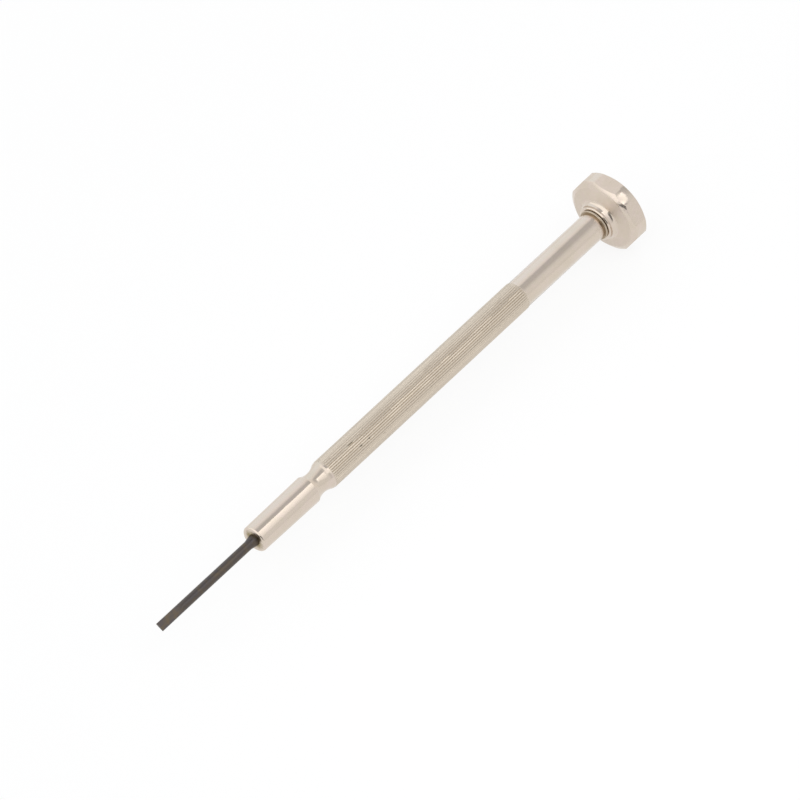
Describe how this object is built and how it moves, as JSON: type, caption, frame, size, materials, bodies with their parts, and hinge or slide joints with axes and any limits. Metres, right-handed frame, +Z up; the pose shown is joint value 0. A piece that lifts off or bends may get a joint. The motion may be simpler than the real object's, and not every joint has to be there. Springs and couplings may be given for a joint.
{
  "type": "watchmaker screwdriver",
  "caption": "Slim precision screwdriver with a flat blade, straight-knurled metal handle and a freely turning hexagonal finger head.",
  "frame": {"origin": "middle of the blade's square-cut end face", "axes": "+X along the tool's axis from the blade's tip to the swivel head, +Z up; with the head at rest one of its flats faces down"},
  "size_m": [0.0869, 0.0104, 0.0098],
  "materials": {
    "plated_handle": "nickel plated, polished turned surface",
    "plated_head": "nickel plated, satin turned surface",
    "blackened_steel": "hardened and blackened, ground flats",
    "bare_brass": "unplated, tarnished",
    "bright_steel": "turned"
  },
  "bodies": {
    "handle_body": {"handle": "plated_handle", "blade": "blackened_steel", "thrust_washer": "bare_brass", "pivot_pin": "bright_steel"},
    "head": {"swivel_head": "plated_head"}
  },
  "joints": [
    {"name": "head_swivel", "type": "hinge", "parent": "handle_body", "child": "head", "pos_m": [0.0845, 0, 0], "axis": [1, 0, 0], "continuous": true}
  ]
}
